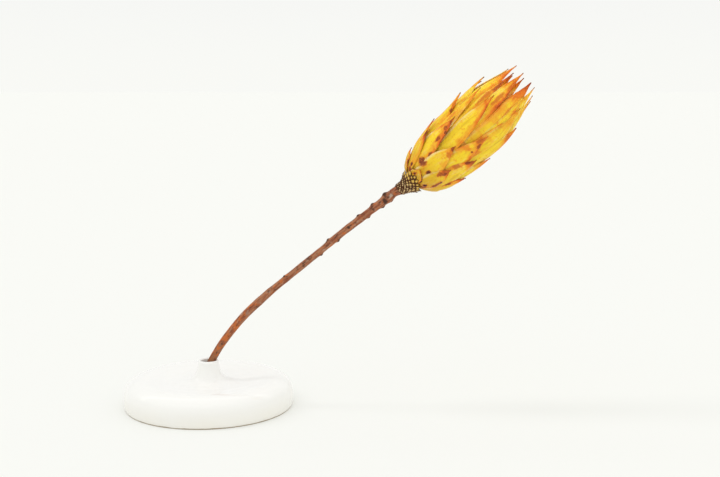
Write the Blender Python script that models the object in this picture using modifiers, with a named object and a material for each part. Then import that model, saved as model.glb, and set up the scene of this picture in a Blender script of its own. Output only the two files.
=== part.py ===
"""A dried sugarbush protea on its own stem, standing in a low glazed single-stem vase.

The origin is the centre of the vase's flat foot, +Z is up, and the flower leans towards +X in the
plane y = 0. Lengths are in metres, and MM turns millimetres into metres.
"""

import math
import random

import bmesh
import bpy
import numpy as np
from mathutils import Matrix, Vector

MM = 0.001

# Vase: a low round body with a dished top and a flared neck in its middle.
FOOT_RADIUS = 54.6 * MM
BODY_RADIUS = 55.6 * MM
BODY_HEIGHT = 19.0 * MM
WALL = 4.2 * MM
RIM_RADIUS = 6.7 * MM
MOUTH_RADIUS = 5.15 * MM
NECK_TOP = 30.6 * MM
VASE_STEPS = 48

# Stem: route points in mm as (x, y, z, radius), cut end first.
STEM_ROUTE = (
    (-8.5, 0.0, 5.75, 2.5),
    (-5.2, 0.0, 14.0, 2.5),
    (-1.3, 0.0, 23.0, 2.5),
    (1.9, 0.0, 29.6, 2.45),
    (9.5, 0.5, 42.2, 2.4),
    (23.0, 1.3, 59.0, 2.6),
    (38.4, 1.1, 73.7, 2.55),
    (46.5, 0.5, 80.7, 2.25),
    (63.0, -0.8, 94.2, 2.2),
    (75.4, -1.3, 104.3, 2.15),
    (86.2, -1.0, 113.5, 2.3),
    (100.0, 0.1, 124.2, 2.4),
    (108.3, 0.5, 130.6, 2.3),
    (116.1, 0.2, 136.7, 2.6),
    (121.4, 0.0, 140.9, 2.9),
)
STEM_POINTS = 40
# Leaf scars: (x along the stem, side of the stem in degrees, size), 0 being the upper side.
LEAF_SCARS = (
    (34.0, 250, 1.0),
    (52.0, 30, 0.9),
    (74.0, 170, 1.0),
    (81.0, 0, 1.1),
    (84.5, 175, 1.1),
    (93.0, 80, 0.9),
    (100.7, 10, 1.2),
    (104.5, 185, 1.2),
    (108.5, 290, 1.1),
    (110.0, 5, 1.3),
    (113.5, 180, 1.3),
    (116.5, 95, 1.4),
    (118.3, 20, 1.6),
    (119.0, 215, 1.5),
)

# Flower head: its own upright frame has z along the head, x towards the lower side.
HEAD_BASE = (129.4 * MM, 0.0, 142.6 * MM)
HEAD_TILT = math.radians(47.3)
JOIN_HEIGHT = 8.0 * MM
GAP = 0.3 * MM
# Outline of the closed head: (height along the head, radius).
HEAD_OUTLINE = (
    (-8.0, 2.9),
    (-5.0, 3.1),
    (0.0, 4.0),
    (3.2, 5.1),
    (6.4, 7.7),
    (9.6, 11.1),
    (13.0, 14.0),
    (17.0, 16.3),
    (25.0, 19.3),
    (38.0, 21.8),
    (52.0, 22.0),
    (64.0, 21.9),
    (76.0, 20.6),
    (84.0, 18.2),
    (92.0, 15.2),
    (100.0, 12.4),
    (108.0, 9.5),
)
# The head's axis isn't quite straight: height along it, and how far it has bent to the lower side.
HEAD_SWAY = (
    (0.0, -1.1),
    (8.0, -1.1),
    (17.0, -0.4),
    (34.0, -0.7),
    (50.0, 0.0),
    (70.0, 0.0),
    (92.0, -1.6),
    (110.0, -2.4),
)

# Bracts: one golden-angle spiral from the lowest, shortest bract to the innermost one.
# Heights, lengths and half-widths are in mm. GROWTH is how fast bracts reach full size up the
# spiral, and WIDEST and TIP_BEND are where a bract is widest and where its tip starts to bend.
BRACTS = 43
GOLDEN_ANGLE = 137.508
FACING_BRACT = 8
LOWEST_TIP = 11.0
HIGHEST_TIP = 107.4
TIP_CROWDING = 1.6
LAYER_SLOPE = 0.075
ROOT_RISE = 0.6
ROOT_DEPTH = 1.5
SHORTEST_BRACT = 12.0
LONGEST_BRACT = 60.0
NARROWEST_BRACT = 5.4
WIDEST_BRACT = 7.4
GROWTH = 2.2
WIDEST = 0.45
BASE_WIDTH = 0.78
TIP_SHARPNESS = 1.15
TIP_BEND = 0.66
BLADE_THICKNESS = 0.85 * MM
BLADE_ROWS = 6
BLADE_COLUMNS = 4
# Bracts that grew or dried out of rank: index to turn in degrees, height, half-width and flare
# in mm, twist in radians, and how far the root lies to one side of the tip, in mm.
HABITS = {
    0: (35, 12.0, 6.4, 0.3, 0.1, 0),
    2: (0, -1.4, 5.6, 0.5, 0.1, 0),
    3: (-18, 18.0, 6.6, 0.3, 0.1, 0),
    4: (18, -3.0, 5.0, -0.8, 0.1, 0),
    5: (-14, 2.5, 6.0, 0.8, 0.1, 0),
    7: (-12, 1.6, 4.6, 1.2, 0.1, 0),
    8: (-20, -4.0, 5.6, 0.2, 0.3, 0),
    10: (-8, -2.0, 7.0, 0.8, 0.1, 0),
    11: (-8, 0.0, 6.6, 0.8, 0.1, 0),
    12: (10, -5.7, 3.8, 1.6, 0.0, 0),
    13: (-18, -6.7, 7.6, 1.0, 0.1, 0),
    15: (-14, -4.5, 6.6, 0.9, 0.1, 0),
    16: (-42, -8.0, 5.6, 0.2, 0.3, 0),
    18: (-5, -5.5, 7.4, 0.8, 0.1, 0),
    20: (-16, -4.3, 6.4, 2.4, -0.3, 0),
    21: (-18, 4.0, 6.4, 1.0, 0.4, 0),
    23: (-15, 2.0, 6.2, 1.0, 0.1, 5),
    24: (-14, 0.0, 7.4, 0.8, 0.1, 0),
    25: (10, 2.0, 6.0, 1.8, -0.3, 0),
    26: (-6, 2.6, 7.6, 1.0, 0.1, -2),
    28: (-14, -11.0, 4.4, 0.8, 0.1, 0),
    29: (-4, 6.0, 5.4, 1.2, 0.1, 0),
    30: (6, 7.8, 6.4, 0.6, 0.1, 0),
    31: (18, 0.0, 6.4, 0.6, 0.1, 0),
    33: (12, 7.0, 6.2, 0.8, 0.1, 0),
    34: (-16, 4.8, 6.4, 0.8, 0.1, 0),
    36: (2, 2.6, 5.2, 0.8, 0.1, 0),
    38: (2, -21.0, 6.8, 0.2, 0.1, 0),
    39: (-10, -0.7, 7.4, 0.8, 0.1, -2),
    40: (3, -0.4, 5.2, 0.6, 0.1, 0),
    41: (14, -5.8, 3.2, 0.6, 0.1, 0),
    42: (-13, -6.0, 6.0, 0.6, 0.1, 0),
}

# Basal scales: a golden-angle spiral of small pointed scales on the cone under the bracts.
SCALES = 64
SCALE_SIDES = 4


def reset_scene():
    for thing in list(bpy.data.objects):
        bpy.data.objects.remove(thing, do_unlink=True)
    for group in list(bpy.data.collections):
        bpy.data.collections.remove(group)


def new_collection(name):
    group = bpy.data.collections.new(name)
    bpy.context.scene.collection.children.link(group)
    return group


def new_material(name, color, roughness):
    material = bpy.data.materials.new(name)
    material.use_nodes = True
    shader = material.node_tree.nodes["Principled BSDF"]
    shader.inputs["Base Color"].default_value = (*color, 1.0)
    shader.inputs["Roughness"].default_value = roughness
    shader.inputs["Metallic"].default_value = 0.0
    return material


def new_object(name, mesh, group, material=None):
    thing = bpy.data.objects.new(name, mesh)
    group.objects.link(thing)
    if material:
        mesh.materials.clear()
        mesh.materials.append(material)
    return thing


def mesh_from(bm, name):
    mesh = bpy.data.meshes.new(name)
    bm.to_mesh(mesh)
    bm.free()
    return mesh


def smooth_through(points, samples):
    """Rows along a smooth curve through the given rows, evenly spaced by length in space."""
    rows = np.array(points, dtype=float)
    ends = np.vstack([2 * rows[0] - rows[1], rows, 2 * rows[-1] - rows[-2]])
    dense = []
    for index in range(1, len(ends) - 2):
        before, start, stop, after = ends[index - 1 : index + 3]
        for share in np.linspace(0.0, 1.0, 20, endpoint=False):
            square, cube = share**2, share**3
            dense.append(
                0.5
                * (
                    2 * start
                    + (stop - before) * share
                    + (2 * before - 5 * start + 4 * stop - after) * square
                    + (3 * start - before - 3 * stop + after) * cube
                )
            )
    dense.append(rows[-1])
    dense = np.array(dense)
    steps = np.linalg.norm(np.diff(dense[:, :3], axis=0), axis=1)
    length = np.concatenate([[0.0], np.cumsum(steps)])
    wanted = np.linspace(0.0, length[-1], samples)
    return np.stack([np.interp(wanted, length, column) for column in dense.T], axis=1)


def apply_union(thing, group):
    """Joins a collection's solids to one solid, applied, and removes the collection's objects."""
    union = thing.modifiers.new("Union", "BOOLEAN")
    union.operation = "UNION"
    union.operand_type = "COLLECTION"
    union.collection = group
    union.solver = "EXACT"
    shape = thing.evaluated_get(bpy.context.evaluated_depsgraph_get())
    joined = bpy.data.meshes.new_from_object(shape)
    thing.modifiers.clear()
    thing.data = joined
    for part in list(group.objects):
        bpy.data.objects.remove(part, do_unlink=True)
    bpy.data.collections.remove(group)


def keep_largest_shell(mesh):
    """Drops loose scraps, and the inner walls of hollows that the union sealed."""
    bm = bmesh.new()
    bm.from_mesh(mesh)
    bmesh.ops.triangulate(bm, faces=bm.faces)
    unseen = set(bm.faces)
    shells = []
    while unseen:
        front = [unseen.pop()]
        shell = list(front)
        while front:
            face = front.pop()
            for edge in face.edges:
                for neighbour in edge.link_faces:
                    if neighbour in unseen:
                        unseen.remove(neighbour)
                        front.append(neighbour)
                        shell.append(neighbour)
        shells.append(shell)
    shells.sort(key=len, reverse=True)
    extra = [face for shell in shells[1:] for face in shell]
    bmesh.ops.delete(bm, geom=extra, context="FACES")
    loose = [vert for vert in bm.verts if not vert.link_faces]
    bmesh.ops.delete(bm, geom=loose, context="VERTS")
    bm.to_mesh(mesh)
    bm.free()


def shade(thing, angle):
    thing.data.shade_smooth()
    thing.data.set_sharp_from_angle(angle=math.radians(angle))


def smooth_outline():
    """Heights and radii of the head's outline, as one smooth curve through its rows."""
    rows = smooth_through([(height, 0.0, 0.0, radius) for height, radius in HEAD_OUTLINE], 240)
    return rows[:, 0], rows[:, 3]


OUTLINE_HEIGHTS, OUTLINE_RADII = smooth_outline()


def outline_radius(height):
    """Radius of the closed head at a height along it, both in mm."""
    return float(np.interp(height, OUTLINE_HEIGHTS, OUTLINE_RADII))


def head_sway(height):
    """Sideways bend of the head's axis at a height along it, both in mm."""
    return float(np.interp(height, *zip(*HEAD_SWAY)))


def build_vase(group, material):
    """The vase is one turned shell: cavity, bore, rim, outer wall and foot in one profile."""
    floor = WALL
    ceiling = BODY_HEIGHT - 1.6 * MM - WALL
    profile = (
        (0.0, floor),
        (FOOT_RADIUS - 9.0 * MM, floor),
        (BODY_RADIUS - WALL - 1.6 * MM, floor + 1.6 * MM),
        (BODY_RADIUS - WALL, floor + 4.0 * MM),
        (BODY_RADIUS - WALL - 0.6 * MM, ceiling - 2.2 * MM),
        (BODY_RADIUS - WALL - 3.4 * MM, ceiling + 0.2 * MM),
        (44.0 * MM, ceiling + 1.2 * MM),
        (24.0 * MM, ceiling),
        (12.0 * MM, ceiling),
        (8.6 * MM, 15.6 * MM),
        (6.5 * MM, 20.5 * MM),
        (5.4 * MM, NECK_TOP - 4.1 * MM),
        (MOUTH_RADIUS, NECK_TOP - 1.2 * MM),
        (MOUTH_RADIUS + 0.2 * MM, NECK_TOP - 0.4 * MM),
        (0.5 * (MOUTH_RADIUS + RIM_RADIUS), NECK_TOP),
        (RIM_RADIUS - 0.25 * MM, NECK_TOP - 0.4 * MM),
        (RIM_RADIUS, NECK_TOP - 1.2 * MM),
        (7.2 * MM, 25.8 * MM),
        (8.5 * MM, 21.9 * MM),
        (10.8 * MM, 19.0 * MM),
        (14.5 * MM, 17.5 * MM),
        (24.0 * MM, 17.3 * MM),
        (36.0 * MM, 18.5 * MM),
        (44.0 * MM, BODY_HEIGHT),
        (50.0 * MM, 17.7 * MM),
        (53.9 * MM, 14.5 * MM),
        (BODY_RADIUS - 0.35 * MM, 10.5 * MM),
        (BODY_RADIUS, 6.6 * MM),
        (BODY_RADIUS - 0.15 * MM, 3.0 * MM),
        (BODY_RADIUS - 0.5 * MM, 1.0 * MM),
        (FOOT_RADIUS, 0.0),
        (0.0, 0.0),
    )
    bm = bmesh.new()
    points = [bm.verts.new((radius, 0.0, height)) for radius, height in profile]
    for start, stop in zip(points, points[1:]):
        bm.edges.new((start, stop))
    vase = new_object("vase", mesh_from(bm, "vase"), group, material)
    screw = vase.modifiers.new("Turn", "SCREW")
    screw.axis = "Z"
    screw.steps = VASE_STEPS
    screw.render_steps = VASE_STEPS
    screw.use_merge_vertices = True
    screw.merge_threshold = 0.00001
    screw.use_smooth_shade = True
    shape = vase.evaluated_get(bpy.context.evaluated_depsgraph_get())
    turned = bpy.data.meshes.new_from_object(shape)
    vase.modifiers.clear()
    vase.data = turned
    shade(vase, 45)


def stem_rows():
    return smooth_through(STEM_ROUTE, STEM_POINTS) * MM


def build_stem(group, material):
    """The woody stem is one tube along its route, with the leaf scars fused on as low knobs."""
    rows = stem_rows()
    curve = bpy.data.curves.new("stem", "CURVE")
    curve.dimensions = "3D"
    curve.bevel_depth = 1.0
    curve.bevel_resolution = 2
    curve.use_fill_caps = True
    spline = curve.splines.new("POLY")
    spline.points.add(len(rows) - 1)
    for point, row in zip(spline.points, rows):
        point.co = (*row[:3], 1.0)
        point.radius = row[3]
    tube = bpy.data.objects.new("stem_tube", curve)
    group.objects.link(tube)
    shape = tube.evaluated_get(bpy.context.evaluated_depsgraph_get())
    mesh = bpy.data.meshes.new_from_object(shape)
    bm = bmesh.new()
    bm.from_mesh(mesh)
    bmesh.ops.remove_doubles(bm, verts=bm.verts, dist=0.01 * MM)
    bm.to_mesh(mesh)
    bm.free()
    stem = new_object("stem", mesh, group, material)
    stem.matrix_world = tube.matrix_world
    bpy.data.objects.remove(tube, do_unlink=True)

    scars = new_collection("leaf_scars")
    for x_mm, side, size in LEAF_SCARS:
        index = int(np.argmin(np.abs(rows[:, 0] - x_mm * MM)))
        index = min(max(index, 1), len(rows) - 2)
        radius = rows[index][3]
        along = Vector(rows[index + 1][:3] - rows[index - 1][:3]).normalized()
        across = Vector((0.0, -1.0, 0.0))
        upper = across.cross(along).normalized()
        turn = math.radians(side)
        outward = upper * math.cos(turn) + across * math.sin(turn)
        sideways = along.cross(outward)
        bm = bmesh.new()
        bmesh.ops.create_icosphere(bm, subdivisions=1, radius=1.0)
        for vert in bm.verts:
            lift = radius - 0.35 * MM + vert.co.z * 0.95 * MM * size
            vert.co = (
                Vector(rows[index][:3])
                + outward * lift
                + along * (vert.co.x * 1.7 * MM * size)
                + sideways * (vert.co.y * 1.25 * MM * size)
            )
        bmesh.ops.recalc_face_normals(bm, faces=bm.faces)
        new_object("leaf_scar", mesh_from(bm, "leaf_scar"), scars)
    apply_union(stem, scars)
    keep_largest_shell(stem.data)
    stem.data.materials.clear()
    stem.data.materials.append(material)
    shade(stem, 50)


def head_matrix():
    return Matrix.Translation(HEAD_BASE) @ Matrix.Rotation(HEAD_TILT, 4, "Y")


def neck_spine(height):
    """Centre and direction of the scale cone, from the stem's end into the head's own axis."""
    rows = stem_rows()
    start = Vector(rows[-1][:3])
    start_way = Vector(rows[-1][:3] - rows[-2][:3]).normalized()
    place = head_matrix()
    stop = place @ Vector((head_sway(JOIN_HEIGHT / MM) * MM, 0.0, JOIN_HEIGHT))
    stop_way = (place.to_3x3() @ Vector((0.0, 0.0, 1.0))).normalized()
    span = (stop - start).length
    share = height / span
    square, cube = share**2, share**3
    centre = (
        start * (2 * cube - 3 * square + 1)
        + start_way * span * (cube - 2 * square + share)
        + stop * (3 * square - 2 * cube)
        + stop_way * span * (cube - square)
    )
    way = (
        start * (6 * square - 6 * share)
        + start_way * span * (3 * square - 4 * share + 1)
        + stop * (6 * share - 6 * square)
        + stop_way * span * (3 * square - 2 * share)
    ).normalized()
    return centre, way


def neck_length():
    start = Vector(stem_rows()[-1][:3])
    stop = Vector((head_sway(JOIN_HEIGHT / MM) * MM, 0.0, JOIN_HEIGHT))
    return (head_matrix() @ stop - start).length


def build_scale_cone(group, material):
    """Small pointed scales round the receptacle: made on a straight cone, then bent to the stem."""
    length = neck_length()
    first = GAP
    last = length - GAP

    def radius_at(height):
        return outline_radius(JOIN_HEIGHT / MM - (length - height) / MM) * MM

    bm = bmesh.new()
    rings = 8
    profile = []
    for step in range(rings + 1):
        height = first + (last - first) * step / rings
        profile.append((radius_at(height) - 0.75 * MM, height))
    points = [bm.verts.new((0.0, 0.0, last))]
    points += [bm.verts.new((radius, 0.0, height)) for radius, height in reversed(profile)]
    points.append(bm.verts.new((0.0, 0.0, first)))
    for start, stop in zip(points, points[1:]):
        bm.edges.new((start, stop))
    cone = new_object("basal_scales", mesh_from(bm, "basal_scales"), group)
    screw = cone.modifiers.new("Turn", "SCREW")
    screw.axis = "Z"
    screw.steps = 18
    screw.render_steps = 18
    screw.use_merge_vertices = True
    screw.merge_threshold = 0.00001

    draws = random.Random(11)
    scales = new_collection("scales")
    for index in range(SCALES):
        share = (index + 0.5) / SCALES
        height = first + 1.4 * MM + (last - first - 4.4 * MM) * share**0.8
        turn = math.radians(GOLDEN_ANGLE * index)
        radius = radius_at(height)
        half_width = (0.95 + 0.155 * radius / MM) * MM * draws.uniform(0.9, 1.1)
        reach = min((1.3 + 0.2 * radius / MM) * MM, last - 0.2 * MM - height)
        slope = math.atan2(radius_at(height + 1.5 * MM) - radius_at(height - 1.5 * MM), 3.0 * MM)
        outward = Vector((math.cos(turn), math.sin(turn), 0.0))
        across = Vector((-math.sin(turn), math.cos(turn), 0.0))
        up = Vector((0.0, 0.0, 1.0))
        along = up * math.cos(slope) + outward * math.sin(slope)
        proud = outward * math.cos(slope) - up * math.sin(slope)
        centre = outward * (radius - 0.75 * MM) + up * height
        bm = bmesh.new()
        bmesh.ops.create_uvsphere(bm, u_segments=SCALE_SIDES, v_segments=2, radius=1.0)
        for vert in bm.verts:
            side, run, lift = vert.co.x, vert.co.y, vert.co.z
            rise = (0.85 + 0.03 * radius / MM) * MM
            tip_lift = 0.75 * MM * max(run, 0.0)
            vert.co = (
                centre
                + across * (side * half_width)
                + along * (run * reach)
                + proud * (lift * rise + tip_lift)
            )
        bmesh.ops.recalc_face_normals(bm, faces=bm.faces)
        new_object("scale", mesh_from(bm, "scale"), scales)
    apply_union(cone, scales)
    keep_largest_shell(cone.data)
    for vert in cone.data.vertices:
        centre, way = neck_spine(vert.co.z)
        lower = Vector((0.0, 1.0, 0.0)).cross(way).normalized()
        vert.co = centre + lower * vert.co.x + way.cross(lower) * vert.co.y
    cone.data.materials.clear()
    cone.data.materials.append(material)
    shade(cone, 35)


def bract_shape(index):
    """Sizes of one bract, in mm and degrees, from its place in the spiral."""
    draws = random.Random(700 + index)
    share = index / (BRACTS - 1)
    grown = min(share * GROWTH, 1.0)
    wide = NARROWEST_BRACT + (WIDEST_BRACT - NARROWEST_BRACT) * grown - 3.0 * max(share - 0.6, 0.0)
    usual = (0.0, 0.0, wide, draws.uniform(0.5, 2.3), 0.1, draws.uniform(-1.5, 1.5))
    turn, lift, half_width, flare, twist, lean = HABITS.get(index, usual)
    climb = 1.0 - (1.0 - share) ** TIP_CROWDING
    return {
        "turn": GOLDEN_ANGLE * (index - FACING_BRACT) + turn,
        "tip": min(LOWEST_TIP + (HIGHEST_TIP - LOWEST_TIP) * climb + lift, HIGHEST_TIP),
        "length": SHORTEST_BRACT + (LONGEST_BRACT - SHORTEST_BRACT) * grown,
        "half_width": half_width,
        "flare": flare,
        "twist": twist,
        "lean": lean,
    }


def leaf_width(along):
    """Half-width of a bract as a share of its widest, at a share of its length."""
    if along < WIDEST:
        return BASE_WIDTH + (1.0 - BASE_WIDTH) * math.sin(0.5 * math.pi * along / WIDEST)
    return math.cos(0.5 * math.pi * (along - WIDEST) / (1.0 - WIDEST)) ** TIP_SHARPNESS


def bract_point(shape, across, along):
    """A point of a bract: across from -1 to 1, along from 0 at the root to 1 at the tip."""
    root = max(shape["tip"] - shape["length"], JOIN_HEIGHT / MM + ROOT_RISE)
    height = root + (shape["tip"] - root) * along
    half = shape["half_width"] * leaf_width(along)
    late = max(along - TIP_BEND, 0.0) / (1.0 - TIP_BEND)
    sunk = ROOT_DEPTH * max(1.0 - along / 0.2, 0.0) ** 2
    radius = outline_radius(height) - LAYER_SLOPE * (shape["tip"] - height) - sunk
    radius += shape["flare"] * late**2
    bend = max(radius * (0.92 - 0.4 * late), 3.0)
    angle = across * half / bend
    sideways = bend * math.sin(angle)
    inward = bend * (1.0 - math.cos(angle))
    swing = shape["twist"] * (0.4 + 0.6 * late)
    sideways, inward = (
        sideways * math.cos(swing) + inward * math.sin(swing),
        inward * math.cos(swing) - sideways * math.sin(swing),
    )
    sideways += shape["lean"] * (1.0 - along) ** 2
    turn = math.radians(shape["turn"])
    outward = Vector((math.cos(turn), math.sin(turn), 0.0))
    beside = Vector((-math.sin(turn), math.cos(turn), 0.0))
    point = outward * (radius - inward) + beside * sideways
    return (point + Vector((head_sway(height), 0.0, height))) * MM


def bract_solid(index):
    shape = bract_shape(index)
    bm = bmesh.new()
    bmesh.ops.create_grid(bm, x_segments=BLADE_COLUMNS, y_segments=BLADE_ROWS, size=1.0)
    for vert in bm.verts:
        along = 1.0 - (0.5 * (1.0 - vert.co.y)) ** 1.35
        vert.co = bract_point(shape, vert.co.x, along)
    bmesh.ops.remove_doubles(bm, verts=bm.verts, dist=0.05 * MM)
    bmesh.ops.triangulate(bm, faces=bm.faces)
    bmesh.ops.recalc_face_normals(bm, faces=bm.faces)
    return bm


def build_bracts(group, material):
    """The yellow bracts stand out of a smaller solid core, open at the top like a cup."""
    bottom = JOIN_HEIGHT / MM
    core_rows = [(0.0, 73.0), (6.0, 72.0), (11.0, 69.0), (15.0, 63.0)]
    for height in (54.0, 40.0, 27.0, 18.0):
        core_rows.append((outline_radius(height) - 3.7, height))
    core_rows += [(outline_radius(bottom + 2.0) - 0.9, bottom + 2.0)]
    core_rows += [(outline_radius(bottom) - 0.4, bottom), (0.0, bottom)]
    bm = bmesh.new()
    points = [bm.verts.new((radius * MM, 0.0, height * MM)) for radius, height in core_rows]
    for start, stop in zip(points, points[1:]):
        bm.edges.new((start, stop))
    head = new_object("bracts", mesh_from(bm, "bracts"), group)
    screw = head.modifiers.new("Turn", "SCREW")
    screw.axis = "Z"
    screw.steps = 20
    screw.render_steps = 20
    screw.use_merge_vertices = True
    screw.merge_threshold = 0.00001
    shape = head.evaluated_get(bpy.context.evaluated_depsgraph_get())
    turned = bpy.data.meshes.new_from_object(shape)
    head.modifiers.clear()
    head.data = turned
    for vert in turned.vertices:
        vert.co.x += head_sway(vert.co.z / MM) * MM

    blades = new_collection("blades")
    for index in range(BRACTS):
        blade = new_object("blade", mesh_from(bract_solid(index), "blade"), blades)
        shell = blade.modifiers.new("Thickness", "SOLIDIFY")
        shell.thickness = BLADE_THICKNESS
        shell.offset = 0.0
    apply_union(head, blades)
    keep_largest_shell(head.data)
    head.data.transform(head_matrix())
    head.data.materials.clear()
    head.data.materials.append(material)
    shade(head, 40)


reset_scene()
parts = new_collection("protea_in_vase")
build_vase(parts, new_material("white_glaze", (0.9, 0.9, 0.87), 0.18))
build_stem(parts, new_material("dry_bark", (0.3, 0.11, 0.05), 0.7))
build_scale_cone(parts, new_material("dry_scales", (0.45, 0.28, 0.1), 0.65))
build_bracts(parts, new_material("yellow_bracts", (0.85, 0.5, 0.06), 0.5))
for part in parts.objects:
    print(part.name, sum(len(face.vertices) - 2 for face in part.data.polygons), "triangles")
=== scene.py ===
"""A dried protea flower on its bent stem, standing in a low white vase with a small neck.

Lengths are in metres unless a comment says mm, +Z is up, and the origin is the centre of the
vase's foot.
"""

import math
import random

import bmesh
import bpy
import numpy as np
from mathutils import Matrix, Vector, noise


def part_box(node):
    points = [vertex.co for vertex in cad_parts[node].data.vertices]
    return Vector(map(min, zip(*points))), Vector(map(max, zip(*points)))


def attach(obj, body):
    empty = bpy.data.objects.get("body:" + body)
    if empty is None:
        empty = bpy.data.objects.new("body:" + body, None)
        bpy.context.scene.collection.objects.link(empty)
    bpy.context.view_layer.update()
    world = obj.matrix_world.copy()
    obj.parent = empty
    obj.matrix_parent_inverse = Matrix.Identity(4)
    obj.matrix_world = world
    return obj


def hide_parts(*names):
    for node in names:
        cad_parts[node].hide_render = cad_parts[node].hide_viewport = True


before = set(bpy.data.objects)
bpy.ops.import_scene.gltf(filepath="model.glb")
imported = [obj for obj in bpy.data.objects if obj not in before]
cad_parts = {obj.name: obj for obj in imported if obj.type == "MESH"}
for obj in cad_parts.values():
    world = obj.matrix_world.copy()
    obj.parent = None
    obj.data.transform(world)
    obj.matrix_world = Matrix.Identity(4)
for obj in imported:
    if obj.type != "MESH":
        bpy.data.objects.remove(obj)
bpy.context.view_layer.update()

# ---------------------------------------------------------------------------------------- Vase
# The vase is one shell of cast stoneware: a low round body with a dished top and a small flared
# neck. It is dipped in a glossy white glaze, creamier low down, that is wiped off the foot. The
# bare-clay ring there is dark clay and also paints the contact shadow under the vase's edge.
# Its wall is one profile, from the cavity's floor over the rim to the foot, spun round the axis.
MM = 0.001
vase_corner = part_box("vase")[1]
BODY_RADIUS = vase_corner.x
NECK_TOP = vase_corner.z
WALL = 4.2 * MM
FOOT_RADIUS = BODY_RADIUS - 1.0 * MM
VASE_PROFILE_STEPS = 190
VASE_TURN_STEPS = 144
# Hand work: the walls wander by this much, in waves of about 35 mm, above the flat foot.
WALL_DRIFT = 0.12 * MM
DRIFT_WAVES = 28.0
FLAT_FOOT = 0.5 * MM
# Points of a mesh that lie this close are merged.
MERGE = 0.001 * MM
GLAZE_WHITE = (0.86, 0.853, 0.825)
GLAZE_CREAM = (0.83, 0.80, 0.72)
BARE_CLAY_AND_CONTACT_SHADE = (0.34, 0.27, 0.18)


def smooth_rows(points, samples, fineness=20):
    """Rows on a smooth curve through the given rows, evenly spaced by their first three columns."""
    rows = np.array(points, dtype=float)
    ends = np.vstack([2 * rows[0] - rows[1], rows, 2 * rows[-1] - rows[-2]])
    dense = []
    for index in range(1, len(ends) - 2):
        before, start, stop, after = ends[index - 1 : index + 3]
        for share in np.linspace(0.0, 1.0, fineness, endpoint=False):
            square, cube = share**2, share**3
            dense.append(
                0.5
                * (
                    2 * start
                    + (stop - before) * share
                    + (2 * before - 5 * start + 4 * stop - after) * square
                    + (3 * start - before - 3 * stop + after) * cube
                )
            )
    dense.append(rows[-1])
    dense = np.array(dense)
    steps = np.linalg.norm(np.diff(dense[:, :3], axis=0), axis=1)
    length = np.concatenate([[0.0], np.cumsum(steps)])
    wanted = np.linspace(0.0, length[-1], samples)
    return np.stack([np.interp(wanted, length, column) for column in dense.T], axis=1)


def spin_profile(bm, rows, steps):
    """Turns (radius, height) rows round the Z axis into one closed wall."""
    verts = [bm.verts.new((radius, 0.0, height)) for radius, height in rows]
    edges = [bm.edges.new(pair) for pair in zip(verts, verts[1:])]
    bmesh.ops.spin(
        bm,
        geom=verts + edges,
        axis=(0.0, 0.0, 1.0),
        cent=(0.0, 0.0, 0.0),
        angle=2.0 * math.pi,
        steps=steps,
        use_merge=True,
    )
    bmesh.ops.remove_doubles(bm, verts=bm.verts, dist=MERGE)
    bmesh.ops.recalc_face_normals(bm, faces=bm.faces)


def add_piece(bm, name, materials, node=None):
    """Makes a finished piece of a bmesh: it rides on the part and stands for its CAD node."""
    mesh = bpy.data.meshes.new(name)
    bm.to_mesh(mesh)
    bm.free()
    mesh.shade_smooth()
    for material in materials:
        mesh.materials.append(material)
    piece = bpy.data.objects.new(name, mesh)
    bpy.context.scene.collection.objects.link(piece)
    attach(piece, "root")
    if node:
        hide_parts(node)
    return piece


def add_node(tree, kind, inputs=(), **settings):
    """Adds a shader node. An input is a value, or another node's socket, given by place or name."""
    made = tree.nodes.new(kind)
    for name, value in settings.items():
        setattr(made, name, value)
    named = inputs.items() if isinstance(inputs, dict) else enumerate(inputs)
    for key, value in named:
        if isinstance(value, bpy.types.NodeSocket):
            tree.links.new(value, made.inputs[key])
        elif made.inputs[key].type == "RGBA":
            made.inputs[key].default_value = (*value, 1.0)
        else:
            made.inputs[key].default_value = value
    return made


def math_of(tree, operation, first, second=0.0):
    """The result of one sum on values or sockets."""
    return add_node(tree, "ShaderNodeMath", (first, second), operation=operation).outputs[0]


def plus(tree, first, second):
    return math_of(tree, "ADD", first, second)


def minus(tree, first, second):
    return math_of(tree, "SUBTRACT", first, second)


def times(tree, first, second):
    return math_of(tree, "MULTIPLY", first, second)


def fade(tree, value, start, stop, low=0.0, high=1.0):
    """A smooth step from low to high as value goes from start to stop."""
    node = add_node(
        tree, "ShaderNodeMapRange", (value, start, stop, low, high), interpolation_type="SMOOTHSTEP"
    )
    return node.outputs["Result"]


def blend_colors(tree, share, first, second):
    """The first colour where the share is 0, the second where it is 1, and a mix between."""
    node = add_node(tree, "ShaderNodeMix", {0: share, 6: first, 7: second}, data_type="RGBA")
    return node.outputs[2]


def noise_of(tree, vector, scale, detail=3.0, roughness=0.5, distortion=0.0):
    """Cloudy noise over a vector, mostly between 0.3 and 0.7."""
    node = add_node(
        tree,
        "ShaderNodeTexNoise",
        {
            "Vector": vector,
            "Scale": scale,
            "Detail": detail,
            "Roughness": roughness,
            "Distortion": distortion,
        },
    )
    return node.outputs[0]


def new_material(name):
    """A new material, with its node tree and its Principled BSDF."""
    material = bpy.data.materials.new(name)
    material.use_nodes = True
    tree = material.node_tree
    return material, tree, tree.nodes["Principled BSDF"]


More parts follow.
